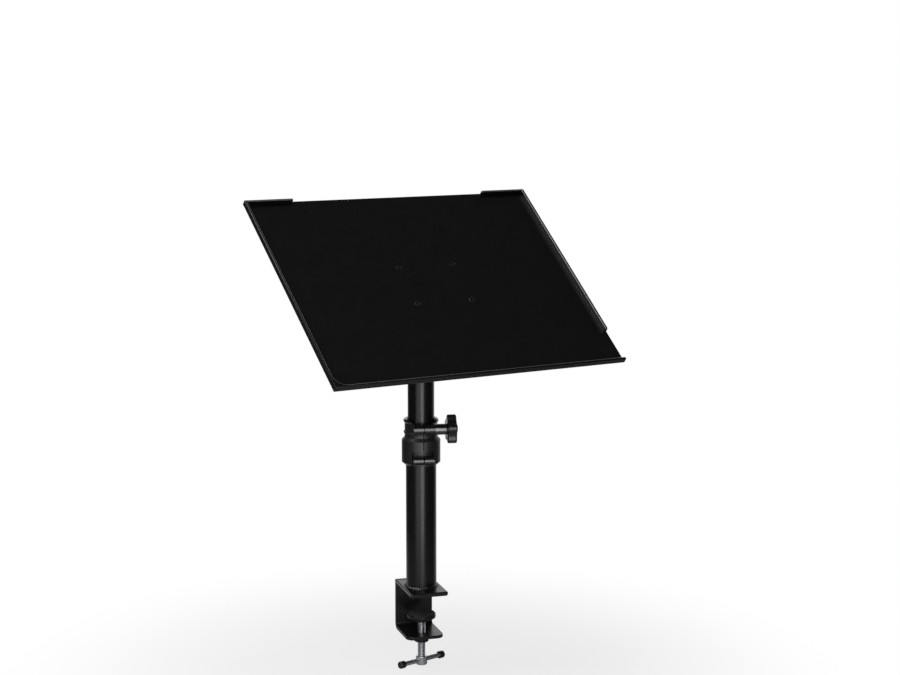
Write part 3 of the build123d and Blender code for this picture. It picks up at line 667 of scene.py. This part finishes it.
def make_tray():
    low, high = local_box("tray", TRAY)
    under = low.z + LIP_ROOT
    limits = prism(rectangle(low.x, high.x, low.y, high.y), low.z, high.z)
    crest = [e for e in limits.edges if min(e.verts[0].co.z, e.verts[1].co.z) > high.z - TINY]
    bevel(limits, crest, LIP_EDGE, 3)
    steps = [
        ("UNION", upright_lip(low.x, low.x + LIP_LENGTH, under, high.z, high.y - LIP_WIDTH, high.y)),
        ("UNION", upright_lip(high.x - LIP_LENGTH, high.x, under, high.z, high.y - LIP_WIDTH, high.y)),
        ("UNION", right_rim(low, high)),
        ("INTERSECT", limits),
    ]
    for x, y in screw_places():
        hole = countersink(low.z + TRAY_SHEET)
        bmesh.ops.translate(hole, verts=hole.verts, vec=(x, y, 0))
        steps.append(("DIFFERENCE", hole))
    sheet = combined(tray_sheet(low, high), *steps)
    # The rims' inner rolled faces take the second material, the lighter coat that paints in a highlight line along
    # the rim
    centre = (low + high) / 2
    for face in sheet.faces:
        middle = face.calc_center_median()
        to_centre = centre - middle
        inward = max(face.normal.x * to_centre.x, face.normal.y * to_centre.y) > TINY
        sloping = PAINTED_HIGHLIGHT_SLOPE[0] < face.normal.z < PAINTED_HIGHLIGHT_SLOPE[1]
        if inward and sloping and middle.z > high.z - RIM_ROLL:
            face.material_index = 1
    piece("tray_sheet", sheet, TRAY, COAT, "tray").data.materials.append(PAINTED_HIGHLIGHT_COAT)


# Bracket and tilt axis
NUT_FLATS = 7.0 * MM
BOLT_FLATS = 13.0 * MM
BOLT_HEAD = 5.3 * MM
BOLT_RADIUS = 4.0 * MM
BOLT_TIP_EDGE = 0.6 * MM
WASHER_EDGE = 0.3 * MM


def make_bracket():
    piece("tilt_bracket", refined("tray_bracket"), UPRIGHT, COAT, "tray_bracket")
    piece("countersunk_screws", refined("bracket_screws"), UPRIGHT, OXIDE, "bracket_screws")
    low, high = local_box("bracket_nuts", TRAY)
    nuts = []
    for x, y in screw_places():
        nut = hexagon(NUT_FLATS, low.z, high.z, SCREW_RADIUS)
        bmesh.ops.translate(nut, verts=nut.verts, vec=(x, y, 0))
        nuts.append(nut)
    piece("hex_nuts", merged(*nuts), TRAY, OXIDE, "bracket_nuts")


def make_tilt_axis():
    low, high = local_box("pivot_bolt", TILT_AXIS)
    shoulder = low.z + BOLT_HEAD
    head = hexagon(BOLT_FLATS, -shoulder, -low.z, cone_below=False)
    head.transform(Matrix.Rotation(pi, 4, "X"))
    shank = rod(BOLT_RADIUS, shoulder - MM, high.z, BOLT_TIP_EDGE)
    piece("hex_bolt", merged(head, shank), TILT_AXIS, OXIDE, "pivot_bolt")
    for node in ("bolt_washer", "knob_washer"):
        low, high = local_box(node, TILT_AXIS)
        washer = ring(high.x, LOOSE_BORE, low.z, high.z, WASHER_EDGE)
        piece(node + "_ring", washer, TILT_AXIS, OXIDE, node)
    piece("tilt_head_block", refined("tilt_head"), UPRIGHT, CAST, "tilt_head")


# Star knobs
KNOB_RADIUS = 18.4 * MM
KNOB_LOBES = 5
LOBE_RADIUS = 5.2 * MM
NOTCH_DEPTH = 4.6 * MM
KNOB_ROUNDING = 1.7 * MM
KNOB_DISH = 10.5 * MM        # radius of the hollow in the outer face
KNOB_DISH_DEPTH = 0.9 * MM
KNOB_DISH_STEPS = 12
PARTING_WIDTH = 0.5 * MM
PARTING_DEPTH = 0.1 * MM
COLLAR_KNOB_TURN = radians(40)
TILT_KNOB_TURN = radians(15)
SPACER_EDGE = 0.5 * MM


def arc_point(circle, middle, reach, a):
    """A point at a reach from the middle of an arc that lies at an angle on a circle."""
    return (circle * cos(middle) + reach * cos(a), circle * sin(middle) + reach * sin(a))


def star_outline(turn, inset, steps=9):
    """Lobes joined by notches, all arcs and each tangent to the next, drawn in by an inset."""
    half = pi / KNOB_LOBES
    lobe_circle = KNOB_RADIUS - LOBE_RADIUS
    along, across = lobe_circle * cos(half), lobe_circle * sin(half)
    rise = KNOB_RADIUS - NOTCH_DEPTH - along
    notch_radius = (rise**2 + across**2 - LOBE_RADIUS**2) / (2 * (LOBE_RADIUS - rise))
    notch_circle = KNOB_RADIUS - NOTCH_DEPTH + notch_radius
    lean = atan2(notch_circle * sin(half), notch_circle * cos(half) - lobe_circle)
    points = []
    for k in range(KNOB_LOBES):
        lobe = turn + 2 * half * k
        for i in range(steps):
            a = lobe + lean * (2 * i / steps - 1)
            points.append(arc_point(lobe_circle, lobe, LOBE_RADIUS - inset, a))
        for i in range(steps):
            a = lobe + pi + lean + 2 * (half - lean) * i / steps
            points.append(arc_point(notch_circle, lobe + half, notch_radius + inset, a))
    return points


def star_knob(low, high, turn):
    """A moulded star knob on the Z axis: rounded rims, a parting line and a dished outer face."""
    middle = (low + high) / 2
    sections = [(KNOB_ROUNDING * (1 - sin(a)), low + KNOB_ROUNDING * (1 - cos(a))) for a in quarter(5)]
    sections += [(0, middle - PARTING_WIDTH), (PARTING_DEPTH, middle), (0, middle + PARTING_WIDTH)]
    sections += [(KNOB_ROUNDING * (1 - cos(a)), high - KNOB_ROUNDING * (1 - sin(a))) for a in quarter(5)]
    body = stacked([(star_outline(turn, inset), height) for inset, height in sections])
    outline = [(0, MM)]
    for k in range(KNOB_DISH_STEPS + 1):
        share = k / KNOB_DISH_STEPS
        outline.append((KNOB_DISH * share, KNOB_DISH_DEPTH * (share**2 - 1)))
    outline.append((KNOB_DISH, MM))
    dish = lathe(outline)
    bmesh.ops.translate(dish, verts=dish.verts, vec=(0, 0, high))
    return combined(body, ("DIFFERENCE", dish))


def make_knobs():
    knobs = [("collar_knob", KNOB_AXIS, COLLAR_KNOB_TURN), ("tilt_knob", TILT_AXIS, TILT_KNOB_TURN)]
    for node, axis, turn in knobs:
        low, high = local_box(node, axis)
        piece(node + "_star", star_knob(low.z, high.z, turn), axis, NYLON, node)
    low, high = local_box("knob_spacer", KNOB_AXIS)
    sleeve = ring(high.x, LOOSE_BORE, low.z, high.z, SPACER_EDGE)
    piece("spacer_sleeve", sleeve, KNOB_AXIS, GLOSSY, "knob_spacer")


# Tubes and collar
TUBE_WALL = 2.0 * MM
TUBE_EDGE = 0.4 * MM
TUBE_STEPS = 160
CLAMP_LUG_RADIUS = 5.9 * MM
FIXED_LUG_RADIUS = 5.0 * MM
BEAD_RADIUS = 2.7 * MM
BEAD_INSIDE = 17.0 * MM      # nothing of the bead is nearer to the tube's axis


def make_tubes():
    pin = rod(local_box("head_pin", PIN_AXIS)[1].x, -CUT, CUT, 0)
    pin.transform(PIN_AXIS)
    for node, steps in (("upper_tube", [("DIFFERENCE", pin)]), ("lower_tube", [])):
        low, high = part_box(node)
        radius = (high.x - low.x) / 2
        tube = ring(radius, radius - TUBE_WALL, low.z, high.z, TUBE_EDGE, TUBE_STEPS)
        piece(node + "_pipe", combined(tube, *steps), UPRIGHT, COAT, node)


def make_collar():
    body = refined("collar")
    barrels = [(KNOB_AXIS.inverted(), CLAMP_LUG_RADIUS), (SCREW_AXIS.inverted(), FIXED_LUG_RADIUS)]
    bead_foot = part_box("collar")[1].z - 2 * BEAD_RADIUS - RUNNING
    for face in body.faces:
        places = [vertex.co for vertex in face.verts]
        shiny = all(point.z > bead_foot and hypot(point.x, point.y) > BEAD_INSIDE for point in places)
        for inverse, radius in barrels:
            nearby = [inverse @ point for point in places]
            shiny = shiny or all(hypot(point.x, point.y) < radius + RUNNING for point in nearby)
        face.material_index = int(shiny)
    piece("collar_body", body, UPRIGHT, CASING, "collar").data.materials.append(RUBBED)
    nut_low, nut_high = local_box("collar_nut", SCREW_AXIS)
    nut = hexagon(NUT_FLATS, nut_low.z, nut_high.z, SCREW_RADIUS)
    piece("lug_nut", nut, SCREW_AXIS, OXIDE, "collar_nut")
    piece("lug_screw", refined("collar_bolt"), UPRIGHT, OXIDE, "collar_bolt")


# Plate and clamp
SPINDLE_PITCH = 1.5 * MM
SPINDLE_RADIUS = 5.0 * MM
THREAD_DEPTH = 0.85 * MM
PLAIN_END = 1.5 * MM         # of the spindle, above its thread
PLAIN_END_INSET = 0.1 * MM
PLAIN_END_EDGE = 0.6 * MM
OVERLAP = 0.5 * MM           # of the spindle's parts
SPINDLE_HEAD = 11.0 * MM
SPINDLE_HEAD_EDGE = 1.0 * MM
NECK_RADIUS = 3.5 * MM
NECK_EDGE = 0.3 * MM
TEE_RADIUS = 3.0 * MM
TEE_EDGE = 0.4 * MM
BOSS_EDGE = 0.7 * MM
DISC_HEIGHT = 5.0 * MM
HUB_RADIUS = 8.0 * MM
DISC_ROUNDING = (0, 0.5 * MM, 1.6 * MM, 1.4 * MM, 0.8 * MM, 0.3 * MM, 0, 0)   # corner by corner
PAD_ROUNDING = (0, 0.4 * MM, 0.5 * MM)
GROOVE_RADII = (13.0 * MM, 9.0 * MM, 5.0 * MM)
GROOVE_HALF_WIDTH = 0.7 * MM
GROOVE_DEPTH = 0.6 * MM
GROOVE_EDGE = 0.3 * MM
CAP_LENGTH = 8.0 * MM
CAP_WALL = 1.6 * MM
CAP_ROUNDING = (0.2 * MM, 0.6 * MM, 1.8 * MM, 0, 0, 0)
WELD_RIPPLES = 52            # round the tube
WELD_RIPPLE_STEPS = 8
WELD_RIPPLE_DEPTH = 0.35 * MM
WELD_BULGE = 0.6 * MM
WELD_LIFT = 0.7              # share of the bulge that goes each way, outwards and upwards
WELD_HOLLOW = 1.3            # 1 is a round hollow between the weld's legs, and more is a shallower one
WELD_FACES = 7               # from one leg to the other
WELD_INSIDE = 0.05 * MM      # how far the bead runs into the tube
WELD_WAVES = ((3, 0.3 * MM, 0.6), (7, 0.2 * MM, 2.0))     # of its legs: number, height and start
ARM_WELD_WIDTH = 2.6 * MM
SEAM_STEP = 0.3 * MM
SEAM_FACES = 8
SEAM_PITCH = 2.2 * MM        # from one ripple to the next
SEAM_RISE = 0.25 * MM
SEAM_RIPPLE = 0.2 * MM
SEAM_END = 2.0 * MM          # the seam thins out over this length
SEAM_THINNEST = 0.05


def weld_ring(radius, leg, bottom):
    """A fillet weld round a tube: a bead of overlapping ripples, a little uneven."""
    bm = bmesh.new()
    steps = WELD_RIPPLES * WELD_RIPPLE_STEPS
    rings = []
    for i in range(steps):
        t = tau * i / steps
        wave = (t * WELD_RIPPLES / tau) % 1.0
        ripple = WELD_RIPPLE_DEPTH * sqrt(1 - (2 * wave - 1) ** 2)
        size = leg + sum(height * (sin(count * t + start) - 1) for count, height, start in WELD_WAVES)
        direction = Vector((cos(t), sin(t), 0))
        column = [bm.verts.new(direction * radius + UP * bottom)]
        for a in quarter(WELD_FACES):
            reach = Vector((1 - sin(a) ** WELD_HOLLOW, 1 - cos(a) ** WELD_HOLLOW)) * size
            swell = WELD_LIFT * (WELD_BULGE + ripple) * sin(2 * a)
            out, rise = reach.x + swell, reach.y + swell
            column.append(bm.verts.new(direction * (radius + out) + UP * (bottom + rise)))
        rings.append(column)
    for left, right in zip(rings, rings[1:] + rings[:1]):
        join_rings(bm, left, right)
    return bm


def weld_line(x0, x1, y, z, width):
    """A weld seam along X, dressed nearly flush: a low bead with ripples across it."""
    bm = bmesh.new()
    steps = int((x1 - x0) / SEAM_STEP)
    rings = []
    for i in range(steps + 1):
        x = x0 + (x1 - x0) * i / steps
        wave = abs(sin(pi * (x - x0) / SEAM_PITCH))
        end = max(min(1, (x - x0) / SEAM_END, (x1 - x) / SEAM_END), SEAM_THINNEST)
        column = []
        for k in range(SEAM_FACES + 1):
            a = pi * k / SEAM_FACES
            rise = (SEAM_RISE + SEAM_RIPPLE * wave) * sin(a) * end
            column.append(bm.verts.new((x, y - width / 2 * cos(a), z + rise)))
        column.append(bm.verts.new((x, y, z - width / 2)))
        rings.append(column)
    for left, right in zip(rings, rings[1:]):
        join_rings(bm, left, right)
    bm.faces.new(rings[0])
    bm.faces.new(rings[-1][::-1])
    return bm


def make_base():
    piece("clamp_bar", refined("clamp_arm"), UPRIGHT, COAT, "clamp_arm")
    piece("seat_plate", refined("base_plate"), UPRIGHT, COAT, "base_plate")
    piece("seat_rubber", refined("seat_pad"), UPRIGHT, RUBBER, "seat_pad")
    low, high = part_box("tube_weld")
    tube_low, tube_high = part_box("lower_tube")
    radius = (tube_high.x - tube_low.x) / 2
    bead = weld_ring(radius - WELD_INSIDE, high.x - radius, low.z)
    piece("foot_weld", bead, UPRIGHT, WELD, "tube_weld", angle=60)
    low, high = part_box("arm_weld")
    seam = weld_line(low.x, high.x, (low.y + high.y) / 2, high.z, ARM_WELD_WIDTH)
    piece("arm_seam", seam, UPRIGHT, WELD, "arm_weld", angle=60)


def make_jaw():
    """The threaded boss, and the swivelling disc with its ribbed rubber face."""
    low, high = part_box("spindle_boss")
    boss = ring(high.x, SPINDLE_RADIUS + RUNNING, low.z, high.z, BOSS_EDGE)
    piece("threaded_boss", boss, UPRIGHT, COAT, "spindle_boss")
    low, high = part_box("pressure_disc")
    under = high.z - DISC_HEIGHT
    neck_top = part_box("clamp_spindle")[1].z + FACE_GAP
    bore = NECK_RADIUS + RUNNING
    outline = [(0, high.z), (high.x, high.z), (high.x, under), (HUB_RADIUS, under)]
    outline += [(HUB_RADIUS, low.z), (bore, low.z), (bore, neck_top), (0, neck_top)]
    piece("swivel_disc", lathe(rounded(outline, DISC_ROUNDING)), UPRIGHT, COAT, "pressure_disc")
    low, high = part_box("disc_pad")
    deep = high.z - GROOVE_DEPTH
    outline = [(0, low.z), (high.x, low.z), (high.x, high.z)]
    radii = list(PAD_ROUNDING)
    for radius in GROOVE_RADII:
        outer, inner = radius + GROOVE_HALF_WIDTH, radius - GROOVE_HALF_WIDTH
        outline += [(outer, high.z), (outer, deep), (inner, deep), (inner, high.z)]
        radii += [GROOVE_EDGE] * 4
    outline.append((0, high.z))
    radii.append(0)
    piece("ribbed_pad", lathe(rounded(outline, radii, 3)), UPRIGHT, RUBBER, "disc_pad")


def make_spindle():
    low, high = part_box("clamp_spindle")
    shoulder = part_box("pressure_disc")[0].z - FACE_GAP
    thread_foot, thread_top = low.z + SPINDLE_HEAD - OVERLAP, shoulder - PLAIN_END
    screw = threaded(SPINDLE_RADIUS, SPINDLE_PITCH, thread_foot, thread_top + OVERLAP, THREAD_DEPTH)
    neck = rod(NECK_RADIUS, thread_top - OVERLAP, high.z, NECK_EDGE)
    plain_end = rod(SPINDLE_RADIUS - PLAIN_END_INSET, thread_top, shoulder, PLAIN_END_EDGE)
    grip = rod((high.x - low.x) / 2, low.z, low.z + SPINDLE_HEAD, SPINDLE_HEAD_EDGE)
    bore = rod(TEE_RADIUS + RUNNING, -CUT, CUT, 0)
    bore.transform(TEE_AXIS)
    grip = combined(grip, ("DIFFERENCE", bore))
    piece("clamp_screw", merged(screw, neck, plain_end, grip), UPRIGHT, ZINC, "clamp_spindle")


def make_tee():
    low, high = local_box("tee_bar", TEE_AXIS)
    piece("sliding_bar", rod(high.x, low.z, high.z, TEE_EDGE), TEE_AXIS, ZINC, "tee_bar")
    cap_low, cap_high = local_box("tee_caps", TEE_AXIS)
    end, start = cap_high.z, cap_high.z - CAP_LENGTH
    outline = [(high.x, start), (cap_high.x, start), (cap_high.x, end), (0, end), (0, end - CAP_WALL)]
    outline.append((high.x, end - CAP_WALL))
    caps = []
    for turn in (0, pi):
        cap = lathe(rounded(outline, CAP_ROUNDING), 64)
        cap.transform(Matrix.Rotation(turn, 4, "X"))
        caps.append(cap)
    piece("bar_caps", merged(*caps), TEE_AXIS, NYLON, "tee_caps")


make_tray()
make_bracket()
make_tilt_axis()
make_knobs()
make_tubes()
make_collar()
make_base()
make_jaw()
make_spindle()
make_tee()
dress(NYLON, "guide_bush", "friction_discs")
dress(OXIDE, "head_pin", "knob_stud")
dress(BRASS, "tilt_insert")


# Stage: a pale floor in a white surround, with a dim studio on the camera's side
FORWARD = Vector((sin(CAMERA_YAW), cos(CAMERA_YAW), 0))
RIGHTWARD = Vector((cos(CAMERA_YAW), -sin(CAMERA_YAW), 0))
WHITE = (1, 1, 1, 1)
FLOOR_RADIUS = 0.6
FLOOR_GAP = 12.5 * MM        # under the object at rest; the clamp's screw comes down this far
FLOOR_COLOUR = 0.35
STUDIO_LEVEL = 0.06
SEEN_FADE = (0.15, 0.58, 0.78, 1.0)     # of the floor's whiteness, by metres from the origin
SWEEP_FADE = (0.05, 0.58, 0.0, 1.0)     # of its whiteness in reflections, by metres behind the object
SKY_FADE = (0.45, 0.82, 1.0, 0.0)       # of the backdrop, by the sine of the elevation
BACKDROP_FADE = (0.35, 1.0, 0.0, 1.0)   # of the backdrop, by the share of the direction that is behind
LEFT_FADE = (-0.75, -0.2, 0.2, 1.0)     # of floor and backdrop in reflections, towards the left
STRIP_DISTANCE = 0.62
STRIP_HEIGHT = 0.66                     # of the two upright lamps, from the level of the object's foot
STRIP_MIDDLE = cad_bounds[0].z + STRIP_HEIGHT / 2


def fade(tree, value, *limits):
    """A soft step of a value: from, to, and what it gives at either end."""
    made = tree.nodes.new("ShaderNodeMapRange")
    made.interpolation_type = "SMOOTHSTEP"
    for name, limit in zip(("From Min", "From Max", "To Min", "To Max"), limits):
        made.inputs[name].default_value = limit
    tree.links.new(value, made.inputs["Value"])
    return made.outputs["Result"]


def mixed(tree, share, first, second):
    """A shader between two, by a share."""
    mix = tree.nodes.new("ShaderNodeMixShader")
    tree.links.new(share, mix.inputs["Fac"])
    tree.links.new(first, mix.inputs[1])
    tree.links.new(second, mix.inputs[2])
    return mix.outputs["Shader"]


def sweep_of(tree, where, back_fade):
    """How white a place or direction is in reflections: behind the object, and less on its left."""
    back = fade(tree, dot(tree, where, FORWARD), *back_fade)
    left = fade(tree, dot(tree, where, RIGHTWARD), *LEFT_FADE)
    return product(tree, back, left)


def make_floor():
    """A pale floor that fades to white away from the object, and is clear from below."""
    bm = bmesh.new()
    bmesh.ops.create_circle(bm, cap_ends=True, radius=FLOOR_RADIUS, segments=128)
    bmesh.ops.translate(bm, verts=bm.verts, vec=(0, 0, cad_bounds[0].z - FLOOR_GAP))
    floor = linked("floor", as_mesh("floor", bm))
    look = Look("floor")
    look.set("Base Color", (FLOOR_COLOUR, FLOOR_COLOUR, FLOOR_COLOUR, 1))
    look.set("Roughness", 0.9)
    look.set("Specular IOR Level", 0.1)
    tree = look.tree
    rays = tree.nodes.new("ShaderNodeLightPath").outputs
    distance = tree.nodes.new("ShaderNodeVectorMath")
    distance.operation = "LENGTH"
    tree.links.new(look.where, distance.inputs[0])
    seen = product(tree, rays["Is Camera Ray"], fade(tree, distance.outputs["Value"], *SEEN_FADE))
    indirect = largest(tree, rays["Is Glossy Ray"], rays["Is Transmission Ray"])
    mirrored = product(tree, indirect, sweep_of(tree, look.where, SWEEP_FADE))
    white = look.node("ShaderNodeEmission", Color=WHITE, Strength=1.0).outputs["Emission"]
    above = mixed(tree, largest(tree, seen, mirrored), look.shader.outputs["BSDF"], white)
    below = tree.nodes.new("ShaderNodeNewGeometry").outputs["Backfacing"]
    clear = tree.nodes.new("ShaderNodeBsdfTransparent").outputs["BSDF"]
    tree.links.new(mixed(tree, below, above, clear), tree.nodes["Material Output"].inputs["Surface"])
    floor.data.materials.append(look.material)


def make_world():
    """White round the horizon behind the object, a dim studio elsewhere."""
    world = bpy.data.worlds.new("surround")
    bpy.context.scene.world = world
    world.use_nodes = True
    tree = world.node_tree
    where = tree.nodes.new("ShaderNodeTexCoord").outputs["Generated"]
    rays = tree.nodes.new("ShaderNodeLightPath").outputs
    split = tree.nodes.new("ShaderNodeSeparateXYZ")
    tree.links.new(where, split.inputs["Vector"])
    low = fade(tree, split.outputs["Z"], *SKY_FADE)
    mirrored = product(tree, low, sweep_of(tree, where, BACKDROP_FADE))
    share = largest(tree, rays["Is Camera Ray"], mirrored)
    level = fade(tree, share, 0.0, 1.0, STUDIO_LEVEL, 1.0)
    tree.links.new(level, tree.nodes["Background"].inputs["Strength"])
    tree.nodes["Background"].inputs["Color"].default_value = WHITE


def round_object(turn, distance, height):
    """A point round the object: degrees to the right of the camera's side, metres away and up."""
    away = Matrix.Rotation(radians(turn), 3, "Z") @ -FORWARD
    return away * distance + UP * height


def make_light(name, where, target, size, radiance):
    """A soft rectangular lamp that looks at a point, of an even brightness where 1 is white."""
    data = bpy.data.lights.new(name, "AREA")
    data.shape = "RECTANGLE"
    data.size, data.size_y = size
    data.energy = radiance * pi * size[0] * size[1]
    lamp = linked(name, data)
    lamp.visible_camera = False
    lamp.location = where
    lamp.rotation_euler = (Vector(target) - Vector(where)).to_track_quat("-Z", "Y").to_euler()


def make_camera():
    data = bpy.data.cameras.new("camera")
    data.sensor_width = SENSOR_WIDTH
    data.lens = CAMERA_LENS
    data.clip_start, data.clip_end = 0.05, 100.0
    camera = linked("camera", data)
    camera.location = CAMERA_PLACE
    camera.rotation_euler = (pi / 2 - CAMERA_PITCH, 0, -CAMERA_YAW)
    bpy.context.scene.camera = camera


def make_strip(name, turn, width, radiance):
    """An upright lamp beside the camera, for the bright band along a tube."""
    where = round_object(turn, STRIP_DISTANCE, STRIP_MIDDLE)
    make_light(name, where, (0, 0, STRIP_MIDDLE), (width, STRIP_HEIGHT), radiance)


make_floor()
make_world()
make_strip("key", 11, 0.22, 5.2)
make_strip("front_fill", -20, 0.4, 1.5)
make_light("overhead", round_object(-55, 0.9, 1.55), (0, 0, 0.3), (0.9, 0.9), 8.3)
make_camera()
bpy.context.scene.view_settings.view_transform = "Standard"
